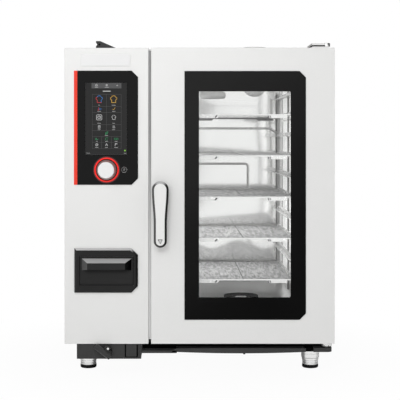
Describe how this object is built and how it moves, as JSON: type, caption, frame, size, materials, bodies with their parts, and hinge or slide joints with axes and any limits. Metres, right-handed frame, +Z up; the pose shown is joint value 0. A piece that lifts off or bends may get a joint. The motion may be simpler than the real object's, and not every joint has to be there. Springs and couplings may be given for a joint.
{
  "type": "combi steamer oven",
  "caption": "Upright combi steamer oven with a hinged glass door, lever handle, touch display, turn and push knob, detergent drawer, tray racks, convection fan and screw feet.",
  "frame": {"origin": "on the floor, under the middle of the box round the whole oven", "axes": "+Z up, -Y towards the person at the door, +X to that person's right"},
  "size_m": [0.885, 0.898, 1.1323],
  "materials": {
    "pale_steel": "fine satin stainless sheet, pale",
    "bright_steel": "bright stainless",
    "dull_steel": "dull steel",
    "clear_glass": "clear toughened glass",
    "black_glass": "black back-printed glass",
    "black_border": "black border behind the pane",
    "black_plastic": "black moulded plastic",
    "grey_plastic": "dark grey moulded plastic",
    "trim_grey": "grey edge trim",
    "white_plastic": "white moulded plastic",
    "red_plastic": "red light guide and accent strip",
    "screen": "dark touch display",
    "board_green": "printed circuit board",
    "rubber": "black silicone",
    "mineral_wool": "pressed mineral wool",
    "motor_grey": "grey painted motor",
    "brass": "cast brass"
  },
  "bodies": {
    "case": {"base_frame": "bright_steel", "left_side_panel": "pale_steel", "right_side_panel": "pale_steel", "top_cover": "pale_steel", "rear_panel": "dull_steel", "front_frame": "pale_steel", "control_fascia": "pale_steel", "gap_trim": "trim_grey", "name_plate": "white_plastic", "accent_strip": "red_plastic", "control_glass": "black_glass", "display_module": "screen", "control_board": "board_green", "knob_ring": "red_plastic", "encoder_body": "motor_grey", "drawer_bezel": "black_plastic", "drawer_sleeve": "grey_plastic", "keeper_stud": "bright_steel", "upper_hinge_bracket": "dull_steel", "lower_hinge_bracket": "bright_steel", "cavity_gasket": "rubber", "cavity_liner": "bright_steel", "insulation_jacket": "mineral_wool", "air_baffle": "bright_steel", "fan_motor": "motor_grey", "heating_element": "dull_steel", "rack_left": "bright_steel", "rack_right": "bright_steel", "tray_1": "bright_steel", "tray_2": "bright_steel", "tray_3": "bright_steel", "tray_4": "bright_steel", "tray_5": "bright_steel", "drain_strainer": "black_plastic", "drain_pipe": "grey_plastic", "steam_vent_pipe": "bright_steel", "wash_nozzle": "dull_steel", "steam_pipe": "bright_steel", "rinse_pipe": "bright_steel", "vent_cowl": "black_plastic", "water_valve": "brass", "cable_gland": "black_plastic", "shower_housing": "black_plastic", "drip_tray": "grey_plastic"},
    "door": {"door_skin": "pale_steel", "door_outer_glass": "clear_glass", "window_frame": "black_border", "door_inner_glass": "clear_glass", "door_inner_frame": "bright_steel"},
    "handle": {"door_handle": "pale_steel", "latch_hook": "bright_steel"},
    "knob_stem": {"encoder_plunger": "bright_steel"},
    "knob": {"control_knob": "white_plastic"},
    "drawer": {"detergent_drawer": "grey_plastic"},
    "fan": {"fan_wheel": "bright_steel"},
    "shower": {"shower_head": "grey_plastic"},
    "front_left_foot": {"foot_front_left": "bright_steel"},
    "front_right_foot": {"foot_front_right": "bright_steel"},
    "rear_left_foot": {"foot_rear_left": "bright_steel"},
    "rear_right_foot": {"foot_rear_right": "bright_steel"}
  },
  "joints": [
    {"name": "door_swing", "type": "hinge", "parent": "case", "child": "door", "pos_m": [0.421, -0.351, 0.114], "axis": [0, 0, 1], "range_deg": [0, 115]},
    {"name": "handle_turn", "type": "hinge", "parent": "door", "child": "handle", "pos_m": [-0.127, -0.391, 0.622], "axis": [0, -1, 0], "range_deg": [0, 90]},
    {"name": "knob_push", "type": "slide", "parent": "case", "child": "knob_stem", "axis": [0, 1, 0], "range_m": [0, 0.003], "stiffness_N_per_m": 500},
    {"name": "knob_turn", "type": "hinge", "parent": "knob_stem", "child": "knob", "pos_m": [-0.304, -0.3758, 0.684], "axis": [0, -1, 0], "continuous": true},
    {"name": "drawer_slide", "type": "slide", "parent": "case", "child": "drawer", "axis": [0, -1, 0], "range_m": [0, 0.14]},
    {"name": "fan_spin", "type": "hinge", "parent": "case", "child": "fan", "pos_m": [-0.149, -0.0017, 0.6065], "axis": [1, 0, 0], "continuous": true},
    {"name": "shower_pull", "type": "slide", "parent": "case", "child": "shower", "axis": [0, -1, 0], "range_m": [0, 0.2]},
    {"name": "front_left_foot_turn", "type": "hinge", "parent": "case", "child": "front_left_foot", "pos_m": [-0.377, -0.195, 0], "axis": [0, 0, 1], "continuous": true},
    {"name": "front_right_foot_turn", "type": "hinge", "parent": "case", "child": "front_right_foot", "pos_m": [0.3862, -0.195, 0], "axis": [0, 0, 1], "continuous": true},
    {"name": "rear_left_foot_turn", "type": "hinge", "parent": "case", "child": "rear_left_foot", "pos_m": [-0.377, 0.319, 0], "axis": [0, 0, 1], "continuous": true},
    {"name": "rear_right_foot_turn", "type": "hinge", "parent": "case", "child": "rear_right_foot", "pos_m": [0.3862, 0.319, 0], "axis": [0, 0, 1], "continuous": true}
  ]
}
